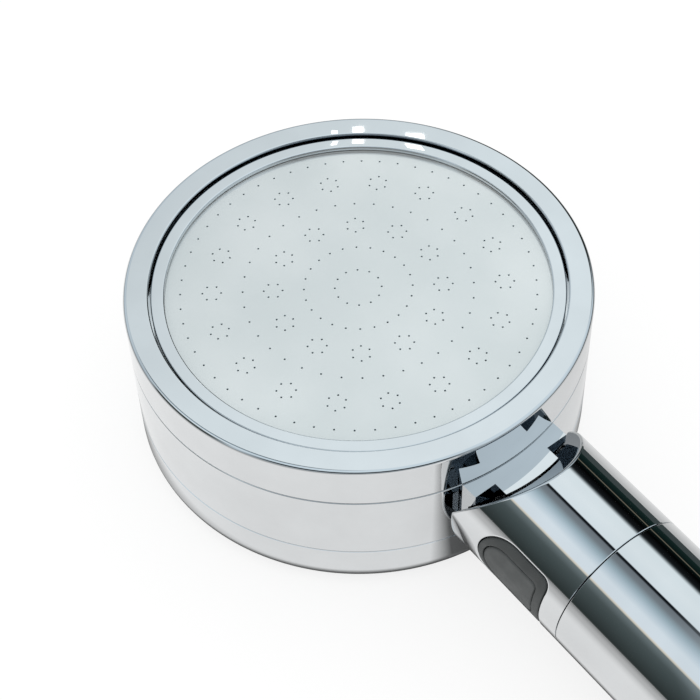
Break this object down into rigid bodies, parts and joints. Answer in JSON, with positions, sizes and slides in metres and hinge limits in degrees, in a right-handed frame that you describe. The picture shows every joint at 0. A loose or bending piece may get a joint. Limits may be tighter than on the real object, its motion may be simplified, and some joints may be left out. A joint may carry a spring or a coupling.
{
  "type": "handheld shower head",
  "caption": "Round chrome handheld shower head with a perforated steel spray plate, a side stop button and a screw-on grip with a filter and a threaded inlet.",
  "frame": {"origin": "centre of the drum's flat back, on the surface that the object rests on", "axes": "+Z from the flat back towards the spray face; +X along the handle, which falls 3.1 degrees towards its free end; the stop button is on the -Y side"},
  "size_m": [0.2425, 0.09, 0.0365],
  "materials": {
    "chrome_plated": "mirror chrome plating on ABS",
    "chrome_brass": "mirror chrome plating on brass",
    "stainless": "satin stainless sheet",
    "steel": "plain steel",
    "charcoal_plastic": "fine matte charcoal",
    "soft_pad": "soft-touch charcoal",
    "seal_rubber": "black seal rubber",
    "white_plastic": "natural white plastic",
    "filter_medium": "spun fibre filter"
  },
  "bodies": {
    "body": {"head_body": "chrome_plated", "upper_handle": "chrome_plated", "neck_screw_left": "steel", "neck_screw_right": "steel", "neck_o_ring": "seal_rubber", "button_frame": "charcoal_plastic", "valve_body": "white_plastic", "valve_flange_o_ring": "seal_rubber", "spring_cap": "white_plastic", "return_spring": "steel", "handle_coupler": "white_plastic", "grip_o_ring": "seal_rubber", "diffuser_disc": "white_plastic", "plate_support_spider": "white_plastic"},
    "button": {"stop_button": "soft_pad", "valve_spool": "white_plastic", "spool_seal_outer": "seal_rubber", "spool_seal_inner": "seal_rubber", "latch_cam": "white_plastic"},
    "cap_seal": {"cap_o_ring": "seal_rubber"},
    "cap": {"face_ring": "chrome_plated", "plate_retaining_ring": "chrome_plated", "spray_plate": "stainless", "plate_gasket": "seal_rubber"},
    "filter": {"filter_core": "white_plastic", "filter_sleeve": "filter_medium", "filter_top_cap": "white_plastic", "filter_bottom_cap": "white_plastic", "filter_o_ring": "seal_rubber"},
    "grip": {"grip": "chrome_plated", "hose_connector": "chrome_brass", "connector_o_ring": "seal_rubber", "flow_restrictor": "white_plastic", "inlet_strainer": "steel"}
  },
  "joints": [
    {"name": "button_press", "type": "slide", "parent": "body", "child": "button", "axis": [0, 1, 0], "range_m": [0, 0.0025], "stiffness_N_per_m": 800, "springref_m": -0.001, "deforming": ["return_spring"]},
    {"name": "cap_lift", "type": "slide", "parent": "body", "child": "cap_seal", "axis": [0, 0, 1], "range_m": [0, 0.0027]},
    {"name": "cap_turn", "type": "hinge", "parent": "cap_seal", "child": "cap", "pos_m": [0, 0, 0.03], "axis": [0, 0, 1], "range_deg": [0, 545]},
    {"name": "grip_draw", "type": "slide", "parent": "body", "child": "filter", "axis": [0.9985, 0, -0.0541], "range_m": [0, 0.005]},
    {"name": "grip_turn", "type": "hinge", "parent": "filter", "child": "grip", "pos_m": [0.07319, 0, 0.01878], "axis": [0.9985, 0, -0.0541], "range_deg": [0, 905]}
  ],
  "couplings": [
    {"joint": "cap_turn", "follows": "cap_lift", "rad_per_m": 3490.7},
    {"joint": "grip_turn", "follows": "grip_draw", "rad_per_m": 3141.6}
  ]
}
